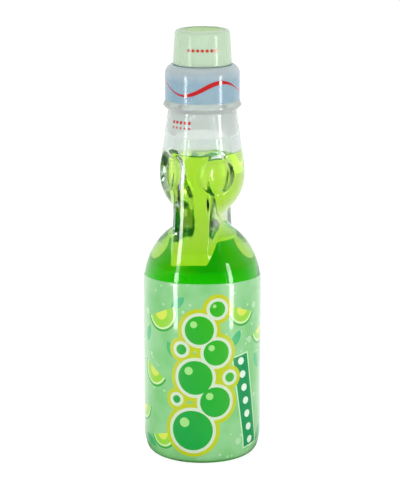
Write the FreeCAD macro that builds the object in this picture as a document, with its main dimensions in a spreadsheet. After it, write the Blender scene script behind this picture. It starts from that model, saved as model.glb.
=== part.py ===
import FreeCAD
import Part
import Sketcher

import math
import os

# Marble stopper bottle: a pressed glass bottle that a glass marble closes from inside.
# Millimetres, +Z up, origin in the middle of the standing ring, pouring side near -Y.

# Lengths from the foot upwards, each measured from where the one before it ends.
LENGTHS = {
    # Marble, and how the pieces round it clear it or hold it
    "marble_radius": 8.5,
    "marble_clearance": 1.1,
    "throat_overlap": 2.6,
    "seal_overlap": 1.5,
    "seal_gap": 0.1,
    # Glass bottle, outside
    "body_radius": 28.95,
    "heel_inset": 6.95,
    "foot_ring_width": 4.5,
    "punt_depth": 3.0,
    "heel_height": 13.4,
    "barrel_height": 73.5,
    "shoulder_height": 30.6,
    "waist_height": 4.7,
    "chamber_radius": 20.8,
    "chamber_rise": 19.4,
    "neck_rise": 32.1,
    "neck_ring_overhang": 0.9,
    "neck_ring_flank": 2.3,
    "neck_ring_crest": 0.6,
    "neck_ring_slope": 2.0,
    "finish_height": 11.8,
    "snap_bead_depth": 0.8,
    "snap_bead_height": 3.0,
    "snap_bead_rise": 4.4,
    # Glass bottle, inside
    "floor_thickness": 6.5,
    "inner_heel_radius": 8.5,
    "body_wall": 4.6,
    "throat_height": 10.5,
    "chamber_wall": 3.8,
    "bore_draft": 0.8,
    "neck_wall": 6.25,
    "finish_wall": 4.6,
    # Columns in front and behind, where the pinch leaves the waist wide
    "pinch_wall": 4.3,
    "waist_sink": 0.3,
    "column_foot_rise": 9.1,
    "column_foot_inset": 1.65,
    "column_flare_height": 36.0,
    "column_radius": 22.0,
    "column_wall": 5.4,
    "column_bore_flare_height": 16.5,
    "column_top_sink": 0.35,
    # Two dents that hold the marble back while pouring
    "dent_ball_radius": 11.5,
    "dent_depth": 5.8,
    "dent_rise": 2.9,
    # Drink, above the middle of the chamber
    "drink_rise": 10.2,
    # Gasket and mouthpiece on the glass finish
    "gasket_thickness": 2.0,
    "gasket_clearance": 0.35,
    "mouthpiece_clearance": 0.05,
    "mouthpiece_wall": 3.9,
    "mouthpiece_rounding": 4.35,
    "roof_thickness": 3.65,
    "spout_wall": 4.45,
    "spout_height": 6.95,
    "spout_rounding": 1.2,
    # Cap ring over the spout
    "cap_seat_gap": 0.1,
    "cap_fit_clearance": 0.15,
    "cap_height": 16.65,
    "cap_foot_wall": 2.33,
    "cap_top_wall": 1.43,
    "cap_rounding": 1.6,
    "cap_flange_thickness": 1.8,
    "cap_flange_overhang": 1.0,
    "bridge_width": 0.8,
    "bridge_gap": 0.1,
    # Plunger held in the cap ring
    "disc_rim_gap": 0.5,
    "disc_thickness": 2.0,
    "disc_sink": 0.2,
    "gate_radius": 0.9,
    "gate_depth": 0.4,
    "stem_play": 0.8,
    "stem_clearance": 1.2,
    "stem_wall": 1.3,
    "stem_rib_thickness": 1.2,
    "push_gap": 0.3,
    # Shrink films and label
    "film_thickness": 0.15,
    "film_gap": 0.02,
    "film_overlap": 1.1,
    "neck_film_hem": 11.7,
    "label_thickness": 0.15,
    "label_foot_height": 1.9,
    "label_shoulder_overlap": 5.6,
}

# Where each two-part curve changes its bend, as shares of its width and of its height.
SHARES = {
    "heel_break_in_share": 0.193,
    "heel_break_up_share": 0.331,
    "shoulder_break_in_share": 0.21,
    "shoulder_break_up_share": 0.545,
    "chamber_break_in_share": 0.206,
    "chamber_break_up_share": 0.302,
    "bridge_height_share": 0.4,
}

# Degrees: how far the pinch is turned from the sides, where the middle between the dents lies,
# how far each dent lies from that middle, and how far the neck film bends over.
ANGLES = {
    "pinch_angle": -15.0,
    "dent_middle_angle": -19.0,
    "dent_spread_angle": 41.6,
    "film_bend_angle": 76.0,
}
COUNTS = {
    "bridge_count": 6,
    "stem_rib_count": 4,
}

FULL_TURN = 360.0


# A size with its value and the text that binds it to the sheet.
class Dim:
    def __init__(self, value, text):
        self.value = value
        self.text = text

    def __add__(self, other):
        other = as_dim(other)
        return Dim(self.value + other.value, f"({self.text} + {other.text})")

    def __sub__(self, other):
        other = as_dim(other)
        return Dim(self.value - other.value, f"({self.text} - {other.text})")

    def __mul__(self, other):
        other = as_dim(other)
        return Dim(self.value * other.value, f"({self.text} * {other.text})")

    def __truediv__(self, other):
        other = as_dim(other)
        return Dim(self.value / other.value, f"({self.text} / {other.text})")

    def __neg__(self):
        return Dim(-self.value, f"(0 - {self.text})")

    def is_zero(self):
        return self.text == "0"


def as_dim(number):
    return number if isinstance(number, Dim) else Dim(number, str(number))


def root(dim):
    return Dim(math.sqrt(dim.value), f"sqrt({dim.text})")


def sine(dim):
    return Dim(math.sin(math.radians(dim.value)), f"sin({dim.text})")


def cosine(dim):
    return Dim(math.cos(math.radians(dim.value)), f"cos({dim.text})")


doc = FreeCAD.newDocument("MarbleStopperBottle")
sheet = doc.addObject("Spreadsheet::Sheet", "Sizes")


# The sizes by name, each tied to its own cell.
class Sizes:
    def __init__(self):
        row = 0
        for table in (LENGTHS, SHARES, ANGLES, COUNTS):
            for name, value in table.items():
                row += 1
                sheet.set(f"A{row}", name)
                sheet.set(f"B{row}", str(value))
                sheet.setAlias(f"B{row}", name)
                setattr(self, name, Dim(value, f"Sizes.{name}"))


size = Sizes()
doc.recompute()


# A closed outline beside the axis, as corners (radius, height) and the way from each to the next.
# An arc's centre is level with, or plumb over, one of its ends, or the arc runs on smoothly
# from the piece before it or into the piece after it.
class Outline:
    def __init__(self, radius, height):
        self.corners = [(as_dim(radius), as_dim(height))]
        self.ways = []

    def line(self, radius, height):
        return self.arc(radius, height, "line")

    def arc(self, radius, height, way):
        self.corners.append((as_dim(radius), as_dim(height)))
        self.ways.append(way)
        return self

    def close(self):
        self.ways.append("line")
        return self

    def ends(self, index):
        start = self.corners[index]
        end = self.corners[(index + 1) % len(self.corners)]
        return [FreeCAD.Vector(radius.value, height.value, 0) for radius, height in (start, end)]

    # The direction in which the outline leaves or reaches a corner of piece `index`.
    def direction(self, index, at_end):
        start, end = self.ends(index)
        if self.ways[index] == "line":
            return (end - start).normalize()
        centre = self.centre(index)
        spoke = (end if at_end else start) - centre
        along = FreeCAD.Vector(-spoke.y, spoke.x, 0).normalize()
        return along if self.turns_left(index, centre) else -along

    def centre(self, index):
        start, end = self.ends(index)
        chord = end - start
        way = self.ways[index]
        if way in ("smooth_start", "smooth_end"):
            at_start = way == "smooth_start"
            neighbour = (index - 1) if at_start else (index + 1) % len(self.ways)
            tangent = self.direction(neighbour, at_start)
            normal = FreeCAD.Vector(-tangent.y, tangent.x, 0)
            corner = start if at_start else end
            across = normal.dot(chord) if at_start else -normal.dot(chord)
            return corner + normal * (chord.dot(chord) / (2 * across))
        corner, other = (start, end) if way.endswith("start") else (end, start)
        gap = other - corner
        if way.startswith("level"):
            return corner + FreeCAD.Vector(gap.dot(gap) / (2 * gap.x), 0, 0)
        return corner + FreeCAD.Vector(0, gap.dot(gap) / (2 * gap.y), 0)

    def turns_left(self, index, centre):
        start, end = self.ends(index)
        return (start - centre).cross(end - centre).z > 0

    def draw(self, sketch):
        pieces = []
        tips = []
        for index, way in enumerate(self.ways):
            start, end = self.ends(index)
            if way == "line":
                pieces.append(Part.LineSegment(start, end))
                tips.append((1, 2))
                continue
            centre = self.centre(index)
            left = self.turns_left(index, centre)
            first, last = (start, end) if left else (end, start)
            circle = Part.Circle(centre, FreeCAD.Vector(0, 0, 1), (start - centre).Length)
            pieces.append(Part.ArcOfCircle(circle, circle.parameter(first), circle.parameter(last)))
            tips.append((1, 2) if left else (2, 1))
        sketch.addGeometry(pieces)
        self.fix(sketch, tips)

    # Corners are joined and dimensioned from the origin, and each arc gets its one further rule.
    def fix(self, sketch, tips):
        rules = []
        bound = []
        for index, way in enumerate(self.ways):
            start, end = tips[index]
            before = (index - 1) % len(self.ways)
            joint = (before, tips[before][1], index, start)
            smooth = way == "smooth_start" or self.ways[before] == "smooth_end"
            rules.append(Sketcher.Constraint("Tangent" if smooth else "Coincident", *joint))
            if way.startswith("level"):
                tip = start if way.endswith("start") else end
                rules.append(Sketcher.Constraint("Horizontal", index, 3, index, tip))
            if way.startswith("plumb"):
                tip = start if way.endswith("start") else end
                rules.append(Sketcher.Constraint("Vertical", index, 3, index, tip))
            radius, height = self.corners[index]
            for dim, axis, kind in ((radius, -2, "DistanceX"), (height, -1, "DistanceY")):
                if dim.is_zero():
                    rules.append(Sketcher.Constraint("PointOnObject", index, start, axis))
                else:
                    bound.append((len(rules), dim))
                    rules.append(Sketcher.Constraint(kind, -1, 1, index, start, dim.value))
        sketch.addConstraint(rules)
        for number, dim in bound:
            sketch.setExpression(f"Constraints[{number}]", dim.text)


def origin_feature(body, role):
    return next(item for item in body.Origin.OriginFeatures if item.Role == role)


def upright_sketch(body, name, outline):
    sketch = body.newObject("Sketcher::SketchObject", name)
    sketch.AttachmentSupport = [(origin_feature(body, "XZ_Plane"), "")]
    sketch.MapMode = "FlatFace"
    outline.draw(sketch)
    doc.recompute()
    return sketch


# A round piece: its outline turned once about the axis.
def turned(name, outline):
    body = doc.addObject("PartDesign::Body", name)
    sketch = upright_sketch(body, f"{name}_outline", outline)
    turn = body.newObject("PartDesign::Revolution", f"{name}_turn")
    turn.Profile = sketch
    turn.ReferenceAxis = (sketch, ["V_Axis"])
    turn.Angle = FULL_TURN
    doc.recompute()
    return body


# An upright web of even thickness, repeated round the axis of a turned piece.
def add_webs(body, name, outline, thickness, count):
    pad = body.newObject("PartDesign::Pad", f"{name}_web")
    pad.Profile = upright_sketch(body, f"{name}_outline", outline)
    pad.SideType = "Symmetric"
    pad.setExpression("Length", thickness.text)
    doc.recompute()
    pattern = body.newObject("PartDesign::PolarPattern", f"{name}_pattern")
    pattern.Originals = [pad]
    pattern.Axis = (origin_feature(body, "Z_Axis"), [""])
    pattern.Angle = FULL_TURN
    pattern.setExpression("Occurrences", count.text)
    body.Tip = pattern
    doc.recompute()


def ball(name, radius, x, y, z):
    sphere = doc.addObject("Part::Sphere", name)
    sphere.setExpression("Radius", radius.text)
    for axis, place in (("x", x), ("y", y), ("z", z)):
        sphere.setExpression(f".Placement.Base.{axis}", as_dim(place).text)
    return sphere


def upright_cylinder(name, radius, foot, height):
    cylinder = doc.addObject("Part::Cylinder", name)
    cylinder.setExpression("Radius", radius.text)
    cylinder.setExpression("Height", height.text)
    cylinder.setExpression(".Placement.Base.z", as_dim(foot).text)
    return cylinder


def cut(name, base, tool):
    result = doc.addObject("Part::Cut", name)
    result.Base = base
    result.Tool = tool
    return result


def fuse(name, base, tool):
    result = doc.addObject("Part::Fuse", name)
    result.Base = base
    result.Tool = tool
    return result


def common(name, base, tool):
    result = doc.addObject("Part::Common", name)
    result.Base = base
    result.Tool = tool
    return result


# Radii that follow from each other, from the marble outwards
throat_half_width = size.marble_radius - size.throat_overlap
waist_half_width = throat_half_width + size.pinch_wall
waist_radius = waist_half_width - size.waist_sink
throat_radius = throat_half_width - size.waist_sink
gasket_bore = size.marble_radius - size.seal_overlap
mouth_bore = size.marble_radius + size.marble_clearance
neck_bore = mouth_bore + size.bore_draft
neck_radius = neck_bore + size.neck_wall
finish_radius = mouth_bore + size.finish_wall
socket_radius = finish_radius + size.mouthpiece_clearance
mouthpiece_radius = socket_radius + size.mouthpiece_wall
ring_radius = mouthpiece_radius + size.neck_ring_overhang
stem_radius = gasket_bore - size.stem_play
spout_bore = stem_radius + size.stem_clearance
spout_radius = spout_bore + size.spout_wall
cap_bore = spout_radius + size.cap_fit_clearance
cap_foot_radius = cap_bore + size.cap_foot_wall
cap_top_radius = cap_bore + size.cap_top_wall
cap_window = cap_bore - size.cap_flange_overhang
disc_radius = cap_window - size.disc_rim_gap
foot_radius = size.body_radius - size.heel_inset

# Heights of the levels that the pieces share
shoulder_foot = size.heel_height + size.barrel_height
waist_foot = shoulder_foot + size.shoulder_height
waist_top = waist_foot + size.waist_height
chamber_middle = waist_top + size.chamber_rise
ring_foot = chamber_middle + size.neck_rise
ring_crest = ring_foot + size.neck_ring_flank
ring_edge = ring_crest + size.neck_ring_crest
seat = ring_edge + size.neck_ring_slope
lip = seat + size.finish_height
ceiling = lip + size.gasket_thickness
roof = ceiling + size.roof_thickness
spout_top = roof + size.spout_height
cap_foot = roof + size.cap_seat_gap
cap_top = cap_foot + size.cap_height
disc_top = cap_top - size.disc_sink
disc_foot = disc_top - size.disc_thickness
throat_foot = waist_foot + (size.waist_height - size.throat_height) / 2
throat_top = throat_foot + size.throat_height
column_foot = shoulder_foot + size.column_foot_rise

# The marble rests against the lower edge of the gasket's bore
seal_reach = size.marble_radius + size.seal_gap
seal_drop = root(seal_reach * seal_reach - gasket_bore * gasket_bore)
marble_middle = lip - seal_drop


# A point part of the way in and up along a curve from one radius to another.
def break_point(outer, inner, foot, rise, in_share, up_share):
    return outer - (outer - inner) * in_share, as_dim(foot) + rise * up_share


# The body from the foot to the waist, moved outwards by `skin`
def add_body_side(outline, skin):
    foot = foot_radius + skin
    side = size.body_radius + skin
    waist = waist_radius + skin
    heel_break = break_point(side, foot, 0, size.heel_height, size.heel_break_in_share,
                             size.heel_break_up_share)
    shoulder_break = break_point(side, waist, shoulder_foot, size.shoulder_height,
                                 size.shoulder_break_in_share, size.shoulder_break_up_share)
    outline.arc(*heel_break, "smooth_end")
    outline.arc(side, size.heel_height, "level_end")
    outline.line(side, shoulder_foot)
    outline.arc(*shoulder_break, "level_start")
    outline.arc(waist, waist_foot, "smooth_start")


# The snap bead round the finish, or its groove in the mouthpiece, at `radius`
def add_snap_bead(outline, radius):
    crest = radius + size.snap_bead_depth
    bead_foot = seat + size.snap_bead_rise
    bead_top = bead_foot + size.snap_bead_height
    outline.line(radius, bead_foot)
    outline.line(crest, bead_foot + size.snap_bead_depth)
    outline.line(crest, bead_top - size.snap_bead_depth)
    outline.line(radius, bead_top)


inner_side = size.body_radius - size.body_wall
inner_chamber = size.chamber_radius - size.chamber_wall
chamber_break = break_point(size.chamber_radius, neck_radius, chamber_middle, size.neck_rise,
                            size.chamber_break_in_share, size.chamber_break_up_share)
inner_break = break_point(inner_chamber, neck_bore, chamber_middle, size.neck_rise,
                          size.chamber_break_in_share, size.chamber_break_up_share)


def glass_outside():
    outline = Outline(0, size.punt_depth)
    outline.arc(foot_radius - size.foot_ring_width, 0, "plumb_start")
    outline.line(foot_radius, 0)
    add_body_side(outline, as_dim(0))
    outline.line(waist_radius, waist_top)
    outline.arc(size.chamber_radius, chamber_middle, "level_end")
    outline.arc(*chamber_break, "level_start")
    outline.line(neck_radius, ring_foot)
    outline.line(ring_radius, ring_crest)
    outline.line(ring_radius, ring_edge)
    outline.line(mouthpiece_radius, seat)
    outline.line(finish_radius, seat)
    add_snap_bead(outline, finish_radius)
    outline.line(finish_radius, lip)
    outline.line(0, lip)
    return turned("glass_outside", outline.close())


def glass_hollow():
    floor = size.punt_depth + size.floor_thickness
    shoulder_break = break_point(inner_side, throat_radius, shoulder_foot, throat_foot - shoulder_foot,
                                 size.shoulder_break_in_share, size.shoulder_break_up_share)
    outline = Outline(0, floor)
    outline.line(inner_side - size.inner_heel_radius, floor)
    outline.arc(inner_side, floor + size.inner_heel_radius, "level_end")
    outline.line(inner_side, shoulder_foot)
    outline.arc(*shoulder_break, "level_start")
    outline.arc(throat_radius, throat_foot, "smooth_start")
    outline.line(throat_radius, throat_top)
    outline.arc(inner_chamber, chamber_middle, "level_end")
    outline.arc(*inner_break, "level_start")
    outline.line(neck_bore, ring_foot)
    outline.line(mouth_bore, seat)
    outline.line(mouth_bore, lip)
    outline.line(0, lip)
    return turned("glass_hollow", outline.close())


# The pinch leaves a column in front and one behind: a turned blank between two flat sides,
# `half_width` to either side of the axis, from the shoulder up into the chamber
def add_columns(name, solid, half_width, foot, radius, flare_height, top):
    top_radius, top_height = top
    outline = Outline(0, column_foot)
    outline.line(foot, column_foot)
    outline.arc(radius, column_foot + flare_height, "level_end")
    outline.arc(top_radius - size.column_top_sink, top_height, "level_start")
    outline.line(0, top_height)
    blank = turned(f"{name}_blank", outline.close())
    slab = doc.addObject("Part::Box", f"{name}_slab")
    slab.setExpression("Length", (half_width + half_width).text)
    slab.setExpression("Width", (size.body_radius + size.body_radius).text)
    slab.setExpression("Height", (top_height - column_foot).text)
    turn_sine, turn_cosine = sine(size.pinch_angle), cosine(size.pinch_angle)
    corner_x = size.body_radius * turn_sine - half_width * turn_cosine
    corner_y = -(size.body_radius * turn_cosine + half_width * turn_sine)
    for axis, place in (("x", corner_x), ("y", corner_y), ("z", column_foot)):
        slab.setExpression(f".Placement.Base.{axis}", place.text)
    slab.setExpression(".Placement.Rotation.Angle", size.pinch_angle.text)
    return fuse(f"{name}_joined", solid, common(f"{name}_columns", blank, slab))


# Presses the two dents into a solid; `wall` keeps the glass as thick behind them as elsewhere
def dented(name, solid, wall):
    reach = size.chamber_radius - size.dent_depth + size.dent_ball_radius
    height = chamber_middle + size.dent_rise
    for side, angle in (("right", size.dent_middle_angle + size.dent_spread_angle),
                        ("left", size.dent_middle_angle - size.dent_spread_angle)):
        tool = ball(f"{name}_{side}_dent", size.dent_ball_radius + wall, reach * sine(angle),
                    -(reach * cosine(angle)), height)
        solid = cut(f"{name}_{side}_dented", solid, tool)
    return solid


def marble():
    return ball("marble", size.marble_radius, 0, 0, marble_middle)


def gasket():
    radius = socket_radius - size.gasket_clearance
    outline = Outline(gasket_bore, lip)
    outline.line(radius, lip)
    outline.line(radius, ceiling)
    outline.line(gasket_bore, ceiling)
    return turned("gasket", outline.close())


def mouthpiece():
    side = mouthpiece_radius
    outline = Outline(spout_bore, ceiling)
    outline.line(spout_bore, spout_top)
    outline.line(spout_radius - size.spout_rounding, spout_top)
    outline.arc(spout_radius, spout_top - size.spout_rounding, "level_end")
    outline.line(spout_radius, roof)
    outline.line(side - size.mouthpiece_rounding, roof)
    outline.arc(side, roof - size.mouthpiece_rounding, "level_end")
    outline.line(side, seat)
    outline.line(socket_radius, seat)
    add_snap_bead(outline, socket_radius)
    outline.line(socket_radius, ceiling)
    return turned("mouthpiece", outline.close())


def cap_ring():
    flange_foot = cap_top - size.cap_flange_thickness
    outline = Outline(cap_bore, cap_foot)
    outline.line(cap_foot_radius, cap_foot)
    outline.line(cap_top_radius, cap_top - size.cap_rounding)
    outline.arc(cap_top_radius - size.cap_rounding, cap_top, "level_start")
    outline.line(cap_window, cap_top)
    outline.line(cap_window, flange_foot)
    outline.line(cap_bore, flange_foot)
    body = turned("cap_ring", outline.close())

    # Thin bridges reach in to the plunger's rim
    tip = disc_radius + size.bridge_gap
    bridge_height = size.cap_flange_thickness * size.bridge_height_share
    bridge_top = flange_foot + bridge_height
    bridge = Outline(tip, flange_foot)
    bridge.line(cap_bore, flange_foot).line(cap_bore, bridge_top).line(tip, bridge_top)
    add_webs(body, "cap_bridge", bridge.close(), size.bridge_width, size.bridge_count)
    return body


def plunger():
    foot = marble_middle + size.marble_radius + size.push_gap
    stem_bore = stem_radius - size.stem_wall
    outline = Outline(0, disc_top - size.gate_depth)
    outline.line(size.gate_radius, disc_top - size.gate_depth)
    outline.line(size.gate_radius, disc_top)
    outline.line(disc_radius, disc_top)
    outline.line(disc_radius, disc_foot)
    outline.line(stem_radius, disc_foot)
    outline.line(stem_radius, foot)
    outline.line(stem_bore, foot)
    outline.line(stem_bore, disc_foot)
    outline.line(0, disc_foot)
    body = turned("plunger", outline.close())

    # Ribs cross the hollow stem, and reach into its wall
    reach = stem_radius - size.stem_wall / 2
    rib = Outline(0, foot)
    rib.line(reach, foot).line(reach, disc_foot).line(0, disc_foot)
    add_webs(body, "stem_rib", rib.close(), size.stem_rib_thickness, size.stem_rib_count)
    return body


def cap_film():
    inside = size.film_gap
    outside = size.film_gap + size.film_thickness
    window = disc_radius - size.film_overlap
    bend = cap_top_radius - size.cap_rounding
    bend_foot = cap_top - size.cap_rounding
    outline = Outline(cap_foot_radius + inside, cap_foot)
    outline.line(cap_foot_radius + outside, cap_foot)
    outline.line(cap_top_radius + outside, bend_foot)
    outline.arc(bend, cap_top + outside, "level_start")
    outline.line(window, cap_top + outside)
    outline.line(window, cap_top + inside)
    outline.line(bend, cap_top + inside)
    outline.arc(cap_top_radius + inside, bend_foot, "level_end")
    return turned("cap_film", outline.close())


def neck_film():
    inside = size.film_gap
    outside = size.film_gap + size.film_thickness
    break_radius, break_height = chamber_break
    hem = ring_foot - size.neck_film_hem
    taper = (break_radius - neck_radius) / (ring_foot - break_height)
    bend = mouthpiece_radius - size.mouthpiece_rounding
    bend_foot = roof - size.mouthpiece_rounding
    side = [
        (neck_radius + taper * size.neck_film_hem, hem),
        (neck_radius, ring_foot),
        (ring_radius, ring_crest),
        (ring_radius, ring_edge),
        (mouthpiece_radius, seat),
        (mouthpiece_radius, bend_foot),
    ]

    # The upper edge, part of the way round the mouthpiece's rounding
    def edge(offset):
        reach = size.mouthpiece_rounding + offset
        angle = size.film_bend_angle
        return bend + reach * cosine(angle), bend_foot + reach * sine(angle)

    outline = Outline(side[0][0] + inside, hem)
    for radius, height in side:
        outline.line(radius + outside, height)
    outline.arc(*edge(outside), "level_start")
    outline.line(*edge(inside))
    outline.arc(mouthpiece_radius + inside, bend_foot, "level_end")
    for radius, height in reversed(side[1:-1]):
        outline.line(radius + inside, height)
    return turned("neck_film", outline.close())


# The label follows the glass from just above the foot to the start of the shoulder
def body_label(glass):
    blank = Outline(0, size.punt_depth)
    blank.arc(foot_radius - size.foot_ring_width, 0, "plumb_start")
    blank.line(foot_radius + size.label_thickness, 0)
    add_body_side(blank, size.label_thickness)
    blank.line(0, waist_foot)
    height = shoulder_foot + size.label_shoulder_overlap - size.label_foot_height
    band = upright_cylinder("label_band", size.body_radius + size.label_thickness * 2,
                            size.label_foot_height, height)
    sleeve = common("label_sleeve", turned("label_blank", blank.close()), band)
    return cut("body_label", sleeve, glass)


outside = glass_outside()
column_foot_radius = size.body_radius - size.column_foot_inset
shell = add_columns("glass", outside, waist_half_width, column_foot_radius, size.column_radius,
                    size.column_flare_height, chamber_break)
shell = dented("glass", shell, as_dim(0))
hollow = add_columns("hollow", glass_hollow(), throat_half_width, column_foot_radius - size.body_wall,
                     size.column_radius - size.column_wall, size.column_bore_flare_height,
                     inner_break)
hollow = dented("hollow", hollow, size.chamber_wall)
glass_bottle = cut("glass_bottle", shell, hollow)
fill = upright_cylinder("drink_fill", size.body_radius, 0, chamber_middle + size.drink_rise)
drink = common("drink", hollow, fill)
parts = [
    glass_bottle,
    drink,
    marble(),
    gasket(),
    mouthpiece(),
    cap_ring(),
    plunger(),
    cap_film(),
    neck_film(),
    body_label(outside),
]
doc.recompute()

for item in doc.Objects:
    if "Invalid" in item.State or "Error" in item.State:
        raise RuntimeError(f"{item.Label} failed: {item.State}")
    if item.isDerivedFrom("Sketcher::SketchObject") and not item.FullyConstrained:
        raise RuntimeError(f"{item.Label} is not fully dimensioned")

for item in parts:
    if item.Shape.isNull() or not item.Shape.isValid() or len(item.Shape.Solids) != 1:
        raise RuntimeError(f"{item.Label} is not one sound solid")

os.makedirs("parts", exist_ok=True)
for item in parts:
    item.Shape.exportStep(f"parts/{item.Label}.step")
    box = item.Shape.BoundBox
    print(f"{item.Label}: {item.Shape.Volume:.1f} mm3, z {box.ZMin:.2f} to {box.ZMax:.2f}, "
          f"width {box.XLength:.2f}")
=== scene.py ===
from math import atan2, cos, exp, pi, radians, sin, sqrt

import bmesh
import bpy
from mathutils import Matrix, Vector


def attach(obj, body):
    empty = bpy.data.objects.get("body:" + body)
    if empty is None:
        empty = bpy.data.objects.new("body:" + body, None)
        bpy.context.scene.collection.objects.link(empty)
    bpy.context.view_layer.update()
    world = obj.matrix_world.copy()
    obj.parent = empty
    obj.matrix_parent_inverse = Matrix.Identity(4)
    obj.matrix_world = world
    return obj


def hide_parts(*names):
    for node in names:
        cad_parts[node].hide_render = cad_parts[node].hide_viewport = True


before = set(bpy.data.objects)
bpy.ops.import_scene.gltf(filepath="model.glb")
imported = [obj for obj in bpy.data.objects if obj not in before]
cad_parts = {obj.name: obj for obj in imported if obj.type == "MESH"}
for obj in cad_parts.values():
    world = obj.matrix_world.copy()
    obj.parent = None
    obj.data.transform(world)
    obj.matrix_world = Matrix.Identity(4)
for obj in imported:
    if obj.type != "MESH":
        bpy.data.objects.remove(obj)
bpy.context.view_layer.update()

mm = 0.001
turnSteps = 216  # segments round every turned piece, the same so that nested skins stay clear
mergeGap = 0.002 * mm
poleRadius = 0.001  # millimetres from the axis, within which a point stays where it is
plainWhite = (1, 1, 1, 1)


# Colour as a picture shows it, 0 to 255, to the linear value that a socket takes
def colour(red, green, blue):
    def linear(c):
        c /= 255
        return c / 12.92 if c <= 0.04045 else ((c + 0.055) / 1.055) ** 2.4
    return (linear(red), linear(green), linear(blue), 1.0)


# A pen draws the half outline of a turned piece, in millimetres: x is the radius, z the height
def startPen(x, z):
    bm = bmesh.new()
    wall = bm.verts.layers.int.new("wall")
    tip = bm.verts.new((x * mm, 0, z * mm))
    return {"bm": bm, "wall": wall, "tip": tip, "heading": None, "corners": []}


def movePen(pen, x, z):
    pen["tip"] = pen["bm"].verts.new((x * mm, 0, z * mm))


def roundTip(pen, rounding):
    pen["corners"].append((pen["tip"], rounding))


def mirrored(heading, chord):
    along = chord.normalized()
    return 2 * heading.dot(along) * along - heading


def lineTo(pen, x, z, cuts=0, rounding=0.0):
    start, end = pen["tip"].co.copy(), Vector((x * mm, 0, z * mm))
    for step in range(1, cuts + 2):
        pen["tip"] = bmesh.ops.extrude_vert_indiv(pen["bm"], verts=[pen["tip"]])["verts"][0]
        pen["tip"].co = start.lerp(end, step / (cuts + 1))
    pen["heading"] = (end - start).xz.normalized()
    if rounding:
        roundTip(pen, rounding)


# An arc that leaves or arrives in a given direction, or else runs on smoothly from what came before
def arcTo(pen, x, z, leave=None, arrive=None, steps=8):
    start, end = pen["tip"].co.xz, Vector((x * mm, z * mm))
    chord = end - start
    if arrive is not None:
        leave = mirrored(Vector(arrive), chord)
    leave = pen["heading"] if leave is None else Vector(leave)
    across = Vector((-leave.y, leave.x))
    centre = start + across * (chord.length_squared / (2 * across.dot(chord)))
    a, b = start - centre, end - centre
    swept = bmesh.ops.spin(pen["bm"], geom=[pen["tip"]], cent=(centre.x, 0, centre.y), axis=(0, 1, 0),
                           dvec=(0, 0, 0), angle=atan2(a.y * b.x - a.x * b.y, a.dot(b)), steps=steps)
    pen["tip"] = [g for g in swept["geom_last"] if isinstance(g, bmesh.types.BMVert)][0]
    pen["heading"] = mirrored(leave, chord)


def markWall(pen):
    for vert in pen["bm"].verts:
        vert[pen["wall"]] = 1


def turnPen(pen):
    bm = pen["bm"]
    for corner, amount in pen["corners"]:
        bmesh.ops.bevel(bm, geom=[corner], offset=amount * mm, offset_type="OFFSET", segments=4,
                        profile=0.5, affect="VERTICES", material=-1)
    bmesh.ops.spin(bm, geom=bm.verts[:] + bm.edges[:], cent=(0, 0, 0), axis=(0, 0, 1), dvec=(0, 0, 0),
                   angle=2 * pi, steps=turnSteps, use_merge=True)
    bmesh.ops.remove_doubles(bm, verts=bm.verts[:], dist=mergeGap)
    bmesh.ops.recalc_face_normals(bm, faces=bm.faces[:])
    return bm


def makePiece(name, bm, material, body, node, sharpAngle=40):
    mesh = bpy.data.meshes.new(name)
    bm.to_mesh(mesh)
    bm.free()
    mesh.shade_smooth()
    mesh.set_sharp_from_angle(angle=radians(sharpAngle))
    mesh.materials.append(material)
    piece = bpy.data.objects.new(name, mesh)
    bpy.context.scene.collection.objects.link(piece)
    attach(piece, body)
    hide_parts(node)
    print("made", name, len(mesh.polygons), "faces")
    return piece


# A sheet's thickness; its inner face is clear, so that light meets the print once
def thicken(piece, thickness, back):
    piece.data.materials.append(back)
    wall = piece.modifiers.new("wall", "SOLIDIFY")
    wall.thickness = thickness * mm
    wall.offset = -1
    wall.use_even_offset = True
    wall.material_offset = 1


# Shader nodes
midNoise = (0.3, 0.7)  # the range in which most of a noise texture lies


def startMaterial(name, settings):
    material = bpy.data.materials.new(name)
    material.use_nodes = True
    shader = material.node_tree.nodes["Principled BSDF"]
    for socket, value in settings.items():
        shader.inputs[socket].default_value = value
    return material, material.node_tree, shader


def addNode(tree, kind, inputs=None, **settings):
    node = tree.nodes.new("ShaderNode" + kind)
    for key, value in settings.items():
        setattr(node, key, value)
    for socket, value in (inputs or {}).items():
        if isinstance(value, bpy.types.NodeSocket):
            tree.links.new(value, node.inputs[socket])
        else:
            node.inputs[socket].default_value = value
    return node


def calc(tree, operation, *values):
    return addNode(tree, "Math", dict(enumerate(values)), operation=operation).outputs[0]


def lay(tree, under, over, mask):
    mixer = addNode(tree, "Mix", {0: mask, 6: under, 7: over}, data_type="RGBA")
    return mixer.outputs[2]


def objectCoords(tree):
    return addNode(tree, "TexCoord").outputs["Object"]


def objectPlace(tree):
    return addNode(tree, "SeparateXYZ", {0: objectCoords(tree)}).outputs


def noise(tree, scale, detail):
    settings = {"Vector": objectCoords(tree), "Scale": scale, "Detail": detail, "Roughness": 0.5}
    return addNode(tree, "TexNoise", settings).outputs[0]


def spread(tree, value, low, high, toLow=0.0, toHigh=1.0):
    return addNode(tree, "MapRange", {0: value, 1: low, 2: high, 3: toLow, 4: toHigh}).outputs[0]


def addBump(tree, shader, height, distance, strength):
    bump = addNode(tree, "Bump", {"Strength": strength, "Distance": distance * mm, "Height": height})
    tree.links.new(bump.outputs[0], shader.inputs["Normal"])


def addWaves(tree, shader, look, detail):
    addBump(tree, shader, noise(tree, look["waves"], detail), look["waveDepth"], look["waveStrength"])


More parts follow.
